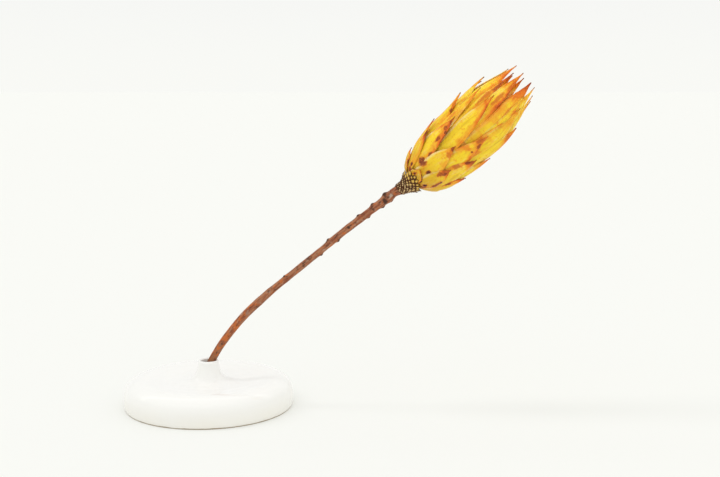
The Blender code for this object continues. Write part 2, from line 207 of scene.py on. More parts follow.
def glaze_material():
    """Glossy white glaze, creamier low down and wiped off at the foot, where bare clay shows.

    The dark bare-clay ring also paints the contact shadow under the vase's edge.
    """
    material, tree, shader = new_material("white_glaze")
    place = add_node(tree, "ShaderNodeTexCoord").outputs["Object"]
    height = add_node(tree, "ShaderNodeSeparateXYZ", (place,)).outputs["Z"]
    # The glaze turns creamier towards the foot, in patches.
    cloud = noise_of(tree, place, 38.0, 2.0)
    creamier_low = times(tree, cloud, fade(tree, height, 14.0 * MM, 1.0 * MM))
    color = blend_colors(tree, creamier_low, GLAZE_WHITE, GLAZE_CREAM)
    # Painted shade in part: the dark bare-clay band at the foot also stands for the contact shadow.
    ragged = times(tree, noise_of(tree, place, 160.0, 2.0), 0.9 * MM)
    bare_foot_and_contact_shade = fade(tree, minus(tree, height, ragged), 0.45 * MM, 0.1 * MM)
    tree.links.new(blend_colors(tree, bare_foot_and_contact_shade, color, BARE_CLAY_AND_CONTACT_SHADE), shader.inputs["Base Color"])
    tree.links.new(fade(tree, bare_foot_and_contact_shade, 0.0, 1.0, 0.16, 0.8), shader.inputs["Roughness"])
    ripple = noise_of(tree, place, 90.0, 2.0, 0.45)
    pits = noise_of(tree, place, 900.0, 1.0)
    relief = plus(tree, ripple, times(tree, pits, 0.04))
    bump = add_node(
        tree, "ShaderNodeBump", {"Strength": 0.12, "Distance": 0.6 * MM, "Height": relief}
    )
    tree.links.new(bump.outputs[0], shader.inputs["Normal"])
    shader.inputs["Coat Weight"].default_value = 0.35
    shader.inputs["Coat Roughness"].default_value = 0.06
    shader.inputs["IOR"].default_value = 1.5
    return material


vase_profile = smooth_rows(
    [
        (0.0, 0.0, WALL),
        (FOOT_RADIUS - 12.0 * MM, 0.0, WALL),
        (BODY_RADIUS - WALL - 2.0 * MM, 0.0, WALL + 2.0 * MM),
        (BODY_RADIUS - WALL, 0.0, 7.5 * MM),
        (BODY_RADIUS - WALL - 3.2 * MM, 0.0, 12.6 * MM),
        (42.0 * MM, 0.0, 14.4 * MM),
        (24.0 * MM, 0.0, 13.1 * MM),
        (12.5 * MM, 0.0, 13.4 * MM),
        (8.4 * MM, 0.0, 16.0 * MM),
        (6.3 * MM, 0.0, 20.8 * MM),
        (5.4 * MM, 0.0, NECK_TOP - 4.1 * MM),
        (5.15 * MM, 0.0, NECK_TOP - 1.2 * MM),
        (5.35 * MM, 0.0, NECK_TOP - 0.4 * MM),
        (5.85 * MM, 0.0, NECK_TOP),
        (6.45 * MM, 0.0, NECK_TOP - 0.4 * MM),
        (6.7 * MM, 0.0, NECK_TOP - 1.2 * MM),
        (7.2 * MM, 0.0, 25.8 * MM),
        (8.5 * MM, 0.0, 21.9 * MM),
        (10.9 * MM, 0.0, 18.9 * MM),
        (15.0 * MM, 0.0, 17.45 * MM),
        (24.0 * MM, 0.0, 17.3 * MM),
        (35.0 * MM, 0.0, 18.4 * MM),
        (43.5 * MM, 0.0, 19.0 * MM),
        (49.8 * MM, 0.0, 17.75 * MM),
        (53.8 * MM, 0.0, 14.6 * MM),
        (BODY_RADIUS - 0.35 * MM, 0.0, 10.5 * MM),
        (BODY_RADIUS, 0.0, 6.6 * MM),
        (BODY_RADIUS - 0.15 * MM, 0.0, 3.0 * MM),
        (BODY_RADIUS - 0.5 * MM, 0.0, 1.0 * MM),
        (FOOT_RADIUS, 0.0, 0.0),
    ],
    VASE_PROFILE_STEPS,
)[:, [0, 2]]
bm = bmesh.new()
spin_profile(bm, [*vase_profile, (0.0, 0.0)], VASE_TURN_STEPS)
for vert in bm.verts:
    away = Vector((vert.co.x, vert.co.y, 0.0))
    if vert.co.z > FLAT_FOOT and away.length > 1.0 * MM:
        vert.co += away.normalized() * noise.noise(vert.co * DRIFT_WAVES) * WALL_DRIFT
add_piece(bm, "vase_glazed", [glaze_material()], "vase")

# ---------------------------------------------------------------------------------------- Stem
# The stem is one woody shoot, cut green and dried bent. Its bark is reddish-brown and wrinkled
# along its length, with dark scars where leaves broke off and a swollen, grey node under the head.
# A grid is rolled round the stem's route, and the wrinkles and scars are raised from its surface.
STEM_RINGS = 420
STEM_SIDES = 32
# The route: the middle's x, y and height, and the radius there, all in mm.
STEM_ROUTE = (
    (-8.5, 0.0, 5.75, 2.5),
    (-5.2, 0.0, 14.0, 2.5),
    (-1.3, 0.0, 23.0, 2.5),
    (1.9, 0.0, 29.6, 2.45),
    (9.5, 0.5, 42.2, 2.4),
    (23.0, 1.3, 59.0, 2.6),
    (38.4, 1.1, 73.7, 2.55),
    (46.5, 0.5, 80.7, 2.25),
    (63.0, -0.8, 94.2, 2.2),
    (75.4, -1.3, 104.3, 2.15),
    (86.2, -1.0, 113.5, 2.3),
    (100.0, 0.1, 124.2, 2.4),
    (108.3, 0.5, 130.6, 2.3),
    (116.1, 0.2, 136.7, 2.6),
    (121.4, 0.0, 140.9, 2.9),
)
# Leaf scars: x of the scar in mm, side of the stem in degrees from its upper side, and size.
LEAF_SCARS = (
    (34.0, 250, 1.0),
    (52.0, 30, 0.9),
    (74.0, 170, 1.0),
    (81.0, 0, 1.1),
    (84.5, 175, 1.1),
    (93.0, 80, 0.9),
    (100.7, 10, 1.2),
    (104.5, 185, 1.2),
    (108.5, 290, 1.1),
    (110.0, 5, 1.3),
    (113.5, 180, 1.3),
    (116.5, 95, 1.4),
    (118.3, 20, 1.6),
    (119.0, 215, 1.5),
)
SCAR_LENGTH = 1.15 * MM
SCAR_WIDTH = 1.25 * MM
SCAR_RISE = 0.75 * MM
SCAR_REACH = 6.0 * MM
COLLAR_LENGTH = 2.6 * MM
COLLAR_RISE = 0.12 * MM
# The swollen node under the head: its place and reach as shares of the stem's length.
NODE_PLACE = 0.975
NODE_REACH = 0.03
NODE_LUMPS = 0.22 * MM
# The bark's relief: how high it stands, and how often it repeats per metre round and along.
BARK_LUMPS = 0.10 * MM
LUMPS_ROUND = 150.0
LUMPS_ALONG = 110.0
BARK_WRINKLES = 0.10 * MM
WRINKLES_ROUND = 620.0
WRINKLES_ALONG = 60.0
BARK_RED = (0.245, 0.064, 0.023)
BARK_TAN = (0.38, 0.165, 0.082)
BARK_OLIVE = (0.19, 0.088, 0.030)
BARK_ORANGE = (0.50, 0.130, 0.026)
BARK_DARK = (0.070, 0.025, 0.012)
BARK_GREY = (0.44, 0.34, 0.26)


def stem_frames(rows):
    """Centre, direction, upper side and cross direction of the stem at each row."""
    frames = []
    for index, row in enumerate(rows):
        before = rows[max(index - 1, 0)][:3]
        after = rows[min(index + 1, len(rows) - 1)][:3]
        along = Vector(after - before).normalized()
        across = Vector((0.0, -1.0, 0.0))
        upper = across.cross(along).normalized()
        frames.append((Vector(row[:3]), along, upper, along.cross(upper)))
    return frames


def scar_at(rows, place, turn):
    """How strongly a leaf scar marks the bark here, 0 to 1, and the height that it adds."""
    mark, rise = 0.0, 0.0
    for x_mm, side, size in LEAF_SCARS:
        index = int(np.argmin(np.abs(rows[:, 0] - x_mm * MM)))
        run = (place - index) * STEM_STEP
        if abs(run) > SCAR_REACH:
            continue
        swing = math.remainder(turn - math.radians(side), 2.0 * math.pi)
        wide = swing * rows[index][3]
        near = math.exp(-((run / (SCAR_LENGTH * size)) ** 2) - (wide / (SCAR_WIDTH * size)) ** 2)
        collar = math.exp(-((run / COLLAR_LENGTH) ** 2)) * COLLAR_RISE * size
        rise += SCAR_RISE * size * near + collar
        mark = max(mark, near)
    return mark, rise


stem_rows = smooth_rows(STEM_ROUTE, STEM_RINGS + 1) * MM
stem_ways = stem_frames(stem_rows)
STEM_STEP = float(np.linalg.norm(stem_rows[1][:3] - stem_rows[0][:3]))


def bark_material():
    """Reddish-brown bark in long grain: olive at its foot, orange above that, then grey-flaked."""
    material, tree, shader = new_material("dry_bark")
    grain = add_node(tree, "ShaderNodeAttribute", attribute_name="grain").outputs["Vector"]
    wear = add_node(tree, "ShaderNodeAttribute", attribute_name="wear").outputs["Vector"]
    scar, rise, node = add_node(tree, "ShaderNodeSeparateXYZ", (wear,)).outputs[:3]
    long_grain = add_node(
        tree, "ShaderNodeMapping", {"Vector": grain, "Scale": (900.0, 900.0, 75.0)}
    ).outputs[0]
    short_grain = add_node(
        tree, "ShaderNodeMapping", {"Vector": grain, "Scale": (560.0, 560.0, 260.0)}
    ).outputs[0]
    streak = noise_of(tree, long_grain, 1.0, 4.0, 0.6)
    mottle = noise_of(tree, short_grain, 1.0, 4.0, 0.65)
    ember = noise_of(tree, short_grain, 0.8, 3.0, 0.6, 0.5)
    patch = noise_of(tree, grain, 130.0, 3.0, 0.6)
    color = blend_colors(tree, fade(tree, streak, 0.38, 0.62), BARK_RED, BARK_TAN)
    fresh = fade(tree, rise, 0.24, 0.08, 0.0, 0.8)
    color = blend_colors(tree, fresh, color, BARK_OLIVE)
    bright = fade(tree, rise, 0.10, 0.18, -0.10, 0.10)
    bright = times(tree, bright, fade(tree, rise, 0.40, 0.28))
    ember = plus(tree, ember, bright)
    color = blend_colors(tree, fade(tree, ember, 0.54, 0.66, 0.0, 0.9), color, BARK_ORANGE)
    # Dark mottles, spread at random over the bark.
    dark_mottle = plus(tree, mottle, times(tree, patch, 0.4))
    color = blend_colors(tree, fade(tree, dark_mottle, 0.66, 0.52, 0.0, 0.85), color, BARK_DARK)
    flake = noise_of(tree, short_grain, 0.9, 3.0, 0.6, 0.3)
    grey = fade(tree, flake, 0.56, 0.66)
    grey = times(tree, grey, fade(tree, node, 0.0, 1.0, 0.45, 1.0))
    grey = times(tree, grey, fade(tree, rise, 0.20, 0.35))
    color = blend_colors(tree, grey, color, BARK_GREY)
    color = blend_colors(tree, fade(tree, scar, 0.25, 0.75), color, BARK_DARK)
    tree.links.new(color, shader.inputs["Base Color"])
    tree.links.new(fade(tree, streak, 0.3, 0.7, 0.5, 0.8), shader.inputs["Roughness"])
    relief = plus(tree, streak, times(tree, mottle, 0.8))
    shader.inputs["Specular IOR Level"].default_value = 0.3
    bump = add_node(
        tree, "ShaderNodeBump", {"Strength": 0.7, "Distance": 0.25 * MM, "Height": relief}
    )
    tree.links.new(bump.outputs[0], shader.inputs["Normal"])
    return material


bm = bmesh.new()
bmesh.ops.create_grid(bm, x_segments=STEM_SIDES, y_segments=STEM_RINGS, size=1.0)
grain_layer = bm.verts.layers.float_vector.new("grain")
wear_layer = bm.verts.layers.float_vector.new("wear")
for vert in bm.verts:
    turn = math.pi * (vert.co.x + 1.0)
    ring = round(0.5 * (vert.co.y + 1.0) * STEM_RINGS)
    centre, along, upper, across = stem_ways[ring]
    radius = stem_rows[ring][3]
    outward = upper * math.cos(turn) + across * math.sin(turn)
    run = ring * STEM_STEP
    roll = Vector((math.cos(turn) * radius, math.sin(turn) * radius, run))
    wrinkle = noise.noise(roll * Vector((WRINKLES_ROUND, WRINKLES_ROUND, WRINKLES_ALONG)))
    lump = noise.noise(roll * Vector((LUMPS_ROUND, LUMPS_ROUND, LUMPS_ALONG)))
    mark, rise = scar_at(stem_rows, ring, turn)
    swell = math.exp(-(((ring / STEM_RINGS) - NODE_PLACE) / NODE_REACH) ** 2)
    relief = wrinkle * BARK_WRINKLES + lump * (BARK_LUMPS + NODE_LUMPS * swell)
    vert.co = centre + outward * (radius + relief + rise)
    vert[grain_layer] = roll
    vert[wear_layer] = Vector((mark, ring / STEM_RINGS, swell))
bmesh.ops.remove_doubles(bm, verts=bm.verts, dist=MERGE)
bmesh.ops.holes_fill(bm, edges=bm.edges)
bmesh.ops.recalc_face_normals(bm, faces=bm.faces)
stem = add_piece(bm, "stem_bark", [bark_material()], "stem")

# -------------------------------------------------------------------------------- Flower head
# The head's own frame has its z along the head and its x towards the lower side. Its outline gives
# the radius of the closed head at each height, and a spine carries the base into the stem's end.
HEAD_BASE = (129.4 * MM, 0.0, 142.6 * MM)
HEAD_TILT = math.radians(47.3)
JOIN_HEIGHT = 8.0 * MM
GOLDEN_ANGLE = math.radians(137.508)
OUTLINE_STEPS = 240
# The closed head's outline: height along the head, and its radius there, both in mm.
HEAD_OUTLINE = (
    (-8.0, 2.9),
    (-5.0, 3.1),
    (0.0, 4.0),
    (3.2, 5.1),
    (6.4, 7.7),
    (9.6, 11.1),
    (13.0, 14.0),
    (17.0, 16.3),
    (25.0, 19.3),
    (38.0, 21.8),
    (52.0, 22.0),
    (64.0, 21.9),
    (76.0, 20.6),
    (84.0, 18.2),
    (92.0, 15.2),
    (100.0, 12.4),
    (108.0, 9.5),
)
# The head's axis isn't quite straight: height along it, and its bend to the lower side, in mm.
HEAD_SWAY = (
    (0.0, -1.1),
    (8.0, -1.1),
    (17.0, -0.4),
    (34.0, -0.7),
    (50.0, 0.0),
    (70.0, 0.0),
    (92.0, -1.6),
    (110.0, -2.4),
)
head_place = Matrix.Translation(HEAD_BASE) @ Matrix.Rotation(HEAD_TILT, 4, "Y")
outline_rows = smooth_rows([(h, 0.0, 0.0, r) for h, r in HEAD_OUTLINE], OUTLINE_STEPS)


def outline_radius(height):
    """Radius of the closed head at a height along it, both in mm."""
    return float(np.interp(height, outline_rows[:, 0], outline_rows[:, 3]))


def head_sway(height):
    """Sideways bend of the head's axis at a height along it, both in mm."""
    return float(np.interp(height, *zip(*HEAD_SWAY)))


spine_start = Vector(stem_rows[-1][:3])
spine_start_way = Vector(stem_rows[-1][:3] - stem_rows[-4][:3]).normalized()
spine_stop = head_place @ Vector((head_sway(JOIN_HEIGHT / MM) * MM, 0.0, JOIN_HEIGHT))
spine_stop_way = (head_place.to_3x3() @ Vector((0.0, 0.0, 1.0))).normalized()
spine_length = (spine_stop - spine_start).length


def on_spine(point):
    """Carries a point of the straight base, with z from the stem's end, onto the bent spine."""
    share = point.z / spine_length
    if share > 1.0:
        centre = spine_stop + spine_stop_way * (point.z - spine_length)
        way = spine_stop_way
    else:
        square, cube = share**2, share**3
        centre = (
            spine_start * (2 * cube - 3 * square + 1)
            + spine_start_way * spine_length * (cube - 2 * square + share)
            + spine_stop * (3 * square - 2 * cube)
            + spine_stop_way * spine_length * (cube - square)
        )
        way = spine_start_way.lerp(spine_stop_way, share).normalized()
    lower = Vector((0.0, 1.0, 0.0)).cross(way).normalized()
    return centre + lower * point.x + way.cross(lower) * point.y


# -------------------------------------------------------------------------------- Base scales
# Small dry scales cover the receptacle under the bracts in one close spiral. They are cream with
# dark brown edges, browner and smaller towards the stem. Each is a bent, pointed little shell on
# a core that carries the stem's bark up to the first of them.
SCALE_THICKNESS = 0.28 * MM
# Heights in mm: where the bark ends, above the stem's end, and where the scales end on the head.
BARE_BASE = 4.4
SCALE_LAST = 9.6
# The scales climb higher on one side, and end lower where the head's outline is seen edge on.
FACING_RISE = 2.4
FACING_TURN = math.radians(235.0)
OUTLINE_DROP = 4.0
LAST_DROP = 0.8
# A leaf's outline, for scales and bracts: its width at the root, as a share of its widest.
BASE_WIDTH = 0.78
SCALE_WIDEST_AT = 0.45
SCALE_SHARPNESS = 0.75
# A scale's length in mm is 1 and this share of the base's radius; its half-width follows it.
SCALE_GROWTH = 0.24
SCALE_SLIMNESS = 0.52
SCALE_SPACING = 0.42
SCALE_COLUMNS = 4
SCALE_ROWS = 6
# How a scale sits, in mm: its root is sunk, it slopes up, bulges, and its tip curls out.
SCALE_BELOW = 0.35
SCALE_SUNK = 0.35
SCALE_SLOPE = 0.7
SCALE_BULGE = 0.32
SCALE_CURL = (0.4, 2.4)
CURL_START = 0.6
# The core under the scales, sunk below them in mm, with lumps of its own.
CORE_RINGS = 16
CORE_SIDES = 40
CORE_END = 0.1 * MM
CORE_SINK = 0.8
CORE_SINK_RUN = 1.5
CORE_LUMPS = 0.35 * MM
CORE_LUMP_WAVES = 420.0
BARK_OVERLAP = 1.2
SCALE_CREAM = (0.80, 0.58, 0.29)
SCALE_YELLOW = (0.78, 0.50, 0.08)
SCALE_BROWN = (0.092, 0.030, 0.009)
SCALE_TAN = (0.42, 0.19, 0.07)


def fibre_group():
    """Masks for a dry leaf: fine fibres along it, and broad clouds over it."""
    group = bpy.data.node_groups.new("dry_fibres", "ShaderNodeTree")
    group.interface.new_socket("Leaf", in_out="INPUT", socket_type="NodeSocketVector")
    lines = group.interface.new_socket("Lines", in_out="INPUT", socket_type="NodeSocketFloat")
    lines.default_value = 9.0
    group.interface.new_socket("Fibre", in_out="OUTPUT", socket_type="NodeSocketFloat")
    group.interface.new_socket("Cloud", in_out="OUTPUT", socket_type="NodeSocketFloat")
    entry = group.nodes.new("NodeGroupInput")
    leave = group.nodes.new("NodeGroupOutput")
    across, along, seed = add_node(group, "ShaderNodeSeparateXYZ", (entry.outputs[0],)).outputs[:3]
    spread = add_node(
        group,
        "ShaderNodeCombineXYZ",
        (
            times(group, across, entry.outputs[1]),
            times(group, along, 2.2),
            times(group, seed, 61.0),
        ),
    ).outputs[0]
    group.links.new(noise_of(group, spread, 1.0, 4.0, 0.62), leave.inputs[0])
    broad = add_node(
        group,
        "ShaderNodeCombineXYZ",
        (
            times(group, across, 1.1),
            times(group, along, 2.6),
            times(group, seed, 47.0),
        ),
    ).outputs[0]
    group.links.new(noise_of(group, broad, 1.3, 3.0, 0.55, 0.4), leave.inputs[1])
    return group


dry_fibres = fibre_group()


def scale_material():
    """Cream to yellow skin with a ragged dark brown rim, wider on the scales near the bracts."""
    material, tree, shader = new_material("base_scales")
    leaf = add_node(tree, "ShaderNodeAttribute", attribute_name="leaf").outputs["Vector"]
    growth = add_node(tree, "ShaderNodeAttribute", attribute_name="growth").outputs["Vector"]
    across, along, seed = add_node(tree, "ShaderNodeSeparateXYZ", (leaf,)).outputs[:3]
    order = add_node(tree, "ShaderNodeSeparateXYZ", (growth,)).outputs["X"]
    fibres = add_node(tree, "ShaderNodeGroup", node_tree=dry_fibres)
    tree.links.new(leaf, fibres.inputs["Leaf"])
    fibres.inputs["Lines"].default_value = 4.0
    body = blend_colors(tree, fade(tree, order, 0.50, 0.95), SCALE_CREAM, SCALE_YELLOW)
    lines = fade(tree, fibres.outputs["Fibre"], 0.45, 0.7, 0.0, 0.5)
    body = blend_colors(tree, lines, body, SCALE_TAN)
    from_middle = math_of(tree, "DIVIDE", minus(tree, along, 0.62), 0.42)
    edge = plus(tree, math_of(tree, "POWER", across, 2.0), math_of(tree, "POWER", from_middle, 2.0))
    edge = math_of(tree, "SQRT", edge)
    ragged = times(tree, minus(tree, fibres.outputs["Cloud"], 0.5), 0.9)
    edge = plus(tree, edge, ragged)
    rim_start = fade(tree, order, 0.25, 0.95, 0.02, 0.38)
    rim_start = plus(tree, rim_start, fade(tree, seed, 0.0, 1.0, -0.25, 0.25))
    rim_stop = plus(tree, rim_start, 0.45)
    mask = add_node(
        tree, "ShaderNodeMapRange", (edge, rim_start, rim_stop), interpolation_type="SMOOTHSTEP"
    ).outputs["Result"]
    color = blend_colors(tree, mask, body, SCALE_BROWN)
    tree.links.new(color, shader.inputs["Base Color"])
    tree.links.new(fade(tree, seed, 0.0, 1.0, 0.45, 0.65), shader.inputs["Roughness"])
    shader.inputs["Specular IOR Level"].default_value = 0.15
    bump = add_node(
        tree,
        "ShaderNodeBump",
        {"Strength": 0.5, "Distance": 0.12 * MM, "Height": fibres.outputs["Fibre"]},
    )
    tree.links.new(bump.outputs[0], shader.inputs["Normal"])
    return material


def base_radius(height):
    """Radius of the straightened base at a height from the stem's end, both in mm."""
    return outline_radius(height + (JOIN_HEIGHT - spine_length) / MM)


def leaf_width(along, widest, sharpness):
    """Half-width of a pointed leaf as a share of its widest, at a share of its length."""
    if along < widest:
        return BASE_WIDTH + (1.0 - BASE_WIDTH) * math.sin(0.5 * math.pi * along / widest)
    return math.cos(0.5 * math.pi * (along - widest) / (1.0 - widest)) ** sharpness


bm = bmesh.new()
core = [(0.0, spine_length - CORE_END)]
for step in range(CORE_RINGS + 1):
    height = spine_length / MM * (1.0 - step / CORE_RINGS)
    sunk = CORE_SINK * min(max((height - BARE_BASE) / CORE_SINK_RUN, 0.0), 1.0)
    core.append(((base_radius(height) - sunk) * MM, max(height * MM, CORE_END)))
core.append((0.0, CORE_END))
spin_profile(bm, core, CORE_SIDES)
leaf_layer = bm.verts.layers.float_vector.new("leaf")
growth_layer = bm.verts.layers.float_vector.new("growth")
grain_layer = bm.verts.layers.float_vector.new("grain")
wear_layer = bm.verts.layers.float_vector.new("wear")
# The core is brown as a scale's tip, and its bark reads like the stem's own near the node.
for vert in bm.verts:
    vert[leaf_layer] = Vector((1.0, 1.0, 0.5))
    vert[grain_layer] = vert.co + Vector((0.0, 0.0, 60.0 * MM))
    vert[wear_layer] = Vector((0.0, 0.9, 0.3))
    lump = noise.noise(vert.co * CORE_LUMP_WAVES) * CORE_LUMPS
    vert.co += Vector((vert.co.x, vert.co.y, 0.0)).normalized() * lump
for face in bm.faces:
    if face.calc_center_median().z < (BARE_BASE + BARK_OVERLAP) * MM:
        face.material_index = 1
draws = random.Random(5)
height, index = BARE_BASE, 0
last = spine_length / MM + SCALE_LAST - JOIN_HEIGHT / MM
while height < last + FACING_RISE:
    radius = base_radius(height)
    size = 1.0 + SCALE_GROWTH * radius
    turn = GOLDEN_ANGLE * index
    order = min(height / last, 1.0)
    seed = draws.random()
    half = size * SCALE_SLIMNESS * draws.uniform(0.8, 1.15)
    reach = size * draws.uniform(0.85, 1.15)
    lift = draws.uniform(*SCALE_CURL) * (1.0 - 0.8 * order)
    outward = Vector((math.cos(turn), math.sin(turn), 0.0))
    beside = Vector((-math.sin(turn), math.cos(turn), 0.0))
    index += 1
    height += SCALE_SPACING * size**2 / (2.0 * math.pi * radius)
    facing = FACING_RISE * max(math.cos(turn - FACING_TURN), 0.0)
    if height > last - LAST_DROP + facing - OUTLINE_DROP * math.cos(turn) ** 2:
        continue
    scale = bmesh.ops.create_grid(bm, x_segments=SCALE_COLUMNS, y_segments=SCALE_ROWS, size=1.0)
    for vert in scale["verts"]:
        across, along = vert.co.x, 0.5 * (vert.co.y + 1.0)
        spot = height + reach * (along - SCALE_BELOW)
        wide = half * leaf_width(along, SCALE_WIDEST_AT, SCALE_SHARPNESS) * across
        under = base_radius(spot)
        proud = SCALE_SLOPE * along - SCALE_SUNK + lift * max(along - CURL_START, 0.0) ** 2
        proud += SCALE_BULGE * (1.0 - across**2) - wide**2 / (2.0 * max(under, 2.0))
        vert.co = (outward * (under + proud) + beside * wide + Vector((0.0, 0.0, spot))) * MM
        vert[leaf_layer] = Vector((across, along, seed))
        vert[growth_layer] = Vector((order, 0.0, 0.0))
for vert in bm.verts:
    vert.co = on_spine(vert.co)
bmesh.ops.remove_doubles(bm, verts=bm.verts, dist=2.0 * MERGE)
scales = add_piece(
    bm, "base_scales_dry", [scale_material(), stem.data.materials[0]], "basal_scales"
)
shell = scales.modifiers.new("Thickness", "SOLIDIFY")
shell.thickness = SCALE_THICKNESS
shell.offset = -1.0

# --------------------------------------------------------------------------------------- Bracts
# The bracts are dry, papery and pointed: bright yellow, turning orange and red-brown at their tips
# and edges, with wine-brown stains. Part of the red on their right edges and a few stains are
# painted shade, and their pale thin edges are painted highlight. They climb one spiral and wrap
# a bed of dry florets. Each is a grid shaped by the same laws as its solid, with a keel, rolled
# edges and a bent tip of its own.
BRACTS = 43
FACING_BRACT = 8
BRACT_THICKNESS = 0.34 * MM
# Heights, lengths and half-widths in mm; the bracts grow to full size early in the spiral.
LOWEST_TIP = 11.0
HIGHEST_TIP = 107.4
TIP_CROWDING = 1.6
LAYER_SLOPE = 0.075
ROOT_RISE = 0.6
ROOT_DEPTH = 1.5
SHORTEST_BRACT = 12.0
LONGEST_BRACT = 60.0
NARROWEST_BRACT = 5.4
WIDEST_BRACT = 7.4
GROWTH = 2.2
BRACT_WIDEST_AT = 0.45
TIP_SHARPNESS = 1.15
TIP_BEND = 0.66
ROLLED_EDGE = 0.55
WAVE_DEPTH = 0.55
RIPPLE_DEPTH = 0.18
BLADE_COLUMNS = 18
BLADE_ROWS = 52
ROW_CROWDING = 1.2
# Bracts that grew or dried out of rank: index to turn in degrees, height, half-width and flare
# in mm, twist in radians, and how far the root lies to one side of the tip, in mm.
HABITS = {
    0: (35, 12.0, 6.4, 0.3, 0.1, 0),
    2: (0, -1.4, 5.6, 0.5, 0.1, 0),
    3: (-18, 18.0, 6.6, 0.3, 0.1, 0),
    4: (18, -3.0, 5.0, -0.8, 0.1, 0),
    5: (-14, 2.5, 6.0, 0.8, 0.1, 0),
    7: (-12, 1.6, 4.6, 1.2, 0.1, 0),
    8: (-20, -4.0, 5.6, 0.2, 0.3, 0),
    10: (-8, -2.0, 7.0, 0.8, 0.1, 0),
    11: (-8, 0.0, 6.6, 0.8, 0.1, 0),
    12: (10, -5.7, 3.8, 1.6, 0.0, 0),
    13: (-18, -6.7, 7.6, 1.0, 0.1, 0),
    15: (-14, -4.5, 6.6, 0.9, 0.1, 0),
    16: (-42, -8.0, 5.6, 0.2, 0.3, 0),
    18: (-5, -5.5, 7.4, 0.8, 0.1, 0),
    20: (-16, -4.3, 6.4, 2.4, -0.3, 0),
    21: (-18, 4.0, 6.4, 1.0, 0.4, 0),
    23: (-15, 2.0, 6.2, 1.0, 0.1, 5),
    24: (-14, 0.0, 7.4, 0.8, 0.1, 0),
    25: (10, 2.0, 6.0, 1.8, -0.3, 0),
    26: (-6, 2.6, 7.6, 1.0, 0.1, -2),
    28: (-14, -11.0, 4.4, 0.8, 0.1, 0),
    29: (-4, 6.0, 5.4, 1.2, 0.1, 0),
    30: (6, 7.8, 6.4, 0.6, 0.1, 0),
    31: (18, 0.0, 6.4, 0.6, 0.1, 0),
    33: (12, 7.0, 6.2, 0.8, 0.1, 0),
    34: (-16, 4.8, 6.4, 0.8, 0.1, 0),
    36: (2, 2.6, 5.2, 0.8, 0.1, 0),
    38: (2, -21.0, 6.8, 0.2, 0.1, 0),
    39: (-10, -0.7, 7.4, 0.8, 0.1, -2),
    40: (3, -0.4, 5.2, 0.6, 0.1, 0),
    41: (14, -5.8, 3.2, 0.6, 0.1, 0),
    42: (-13, -6.0, 6.0, 0.6, 0.1, 0),
}
BRACT_YELLOW = (0.97, 0.66, 0.030)
# The pale colour below is a painted highlight.
BRACT_PALE_HIGHLIGHT = (0.93, 0.70, 0.27)
BRACT_OCHRE = (0.56, 0.29, 0.022)
BRACT_AMBER = (0.90, 0.40, 0.028)
BRACT_ORANGE = (0.80, 0.20, 0.017)
BRACT_RED = (0.52, 0.085, 0.016)
BRACT_RUST = (0.24, 0.048, 0.020)
BRACT_WINE = (0.085, 0.020, 0.018)


def bract_shape(index):
    """Sizes of one bract, in mm and degrees, from its place in the spiral."""
    draws = random.Random(700 + index)
    share = index / (BRACTS - 1)
    grown = min(share * GROWTH, 1.0)
    wide = NARROWEST_BRACT + (WIDEST_BRACT - NARROWEST_BRACT) * grown - 3.0 * max(share - 0.6, 0.0)
    usual = (0.0, 0.0, wide, draws.uniform(0.5, 2.3), 0.1, draws.uniform(-1.5, 1.5))
    turn, lift, half_width, flare, twist, lean = HABITS.get(index, usual)
    climb = 1.0 - (1.0 - share) ** TIP_CROWDING
    tip = min(LOWEST_TIP + (HIGHEST_TIP - LOWEST_TIP) * climb + lift, HIGHEST_TIP)
    length = SHORTEST_BRACT + (LONGEST_BRACT - SHORTEST_BRACT) * grown
    root = max(tip - length, JOIN_HEIGHT / MM + ROOT_RISE)
    return {
        "turn": math.degrees(GOLDEN_ANGLE) * (index - FACING_BRACT) + turn,
        "tip": tip,
        "root": root,
        "span": tip - root,
        "half_width": half_width,
        "flare": flare,
        "twist": twist,
        "lean": lean,
        "keel": draws.uniform(0.1, 0.5),
        "roll": draws.uniform(-0.2, 1.3),
        "seed": draws.random(),
    }


def bract_half_width(shape, along):
    """Half-width of a bract in mm, at a share of its length."""
    return shape["half_width"] * leaf_width(along, BRACT_WIDEST_AT, TIP_SHARPNESS)


def bract_point(shape, across, along):
    """A point of a bract: across from -1 to 1, along from 0 at the root to 1 at the tip."""
    height = shape["root"] + shape["span"] * along
    half = bract_half_width(shape, along)
    late = max(along - TIP_BEND, 0.0) / (1.0 - TIP_BEND)
    sunk = ROOT_DEPTH * max(1.0 - along / 0.2, 0.0) ** 2
    radius = outline_radius(height) - LAYER_SLOPE * (shape["tip"] - height) - sunk
    radius += shape["flare"] * late**2
    bend = max(radius * (0.92 - 0.4 * late), 3.0)
    angle = across * half / bend
    sideways = bend * math.sin(angle)
    inward = bend * (1.0 - math.cos(angle))
    edge = max(abs(across) - ROLLED_EDGE, 0.0) / (1.0 - ROLLED_EDGE)
    grown = min(along / 0.35, 1.0)
    slim = min(half / 4.0, 1.0)
    wave = noise.noise(Vector((across * 2.0, along * 5.0, shape["seed"] * 90.0)))
    ripple = noise.noise(Vector((across * 5.0, along * 14.0, shape["seed"] * 70.0)))
    inward += shape["keel"] * (abs(across) - 0.5) * grown * slim
    inward += shape["roll"] * edge**2 * grown * slim
    waves = WAVE_DEPTH * wave + RIPPLE_DEPTH * ripple
    inward += waves * grown * (0.35 + 0.65 * abs(across))
    swing = shape["twist"] * (0.4 + 0.6 * late)
    sideways, inward = (
        sideways * math.cos(swing) + inward * math.sin(swing),
        inward * math.cos(swing) - sideways * math.sin(swing),
    )
    sideways += shape["lean"] * (1.0 - along) ** 2
    turn = math.radians(shape["turn"])
    outward = Vector((math.cos(turn), math.sin(turn), 0.0))
    beside = Vector((-math.sin(turn), math.cos(turn), 0.0))
    point = outward * (radius - inward) + beside * sideways
    return (point + Vector((head_sway(height), 0.0, height))) * MM


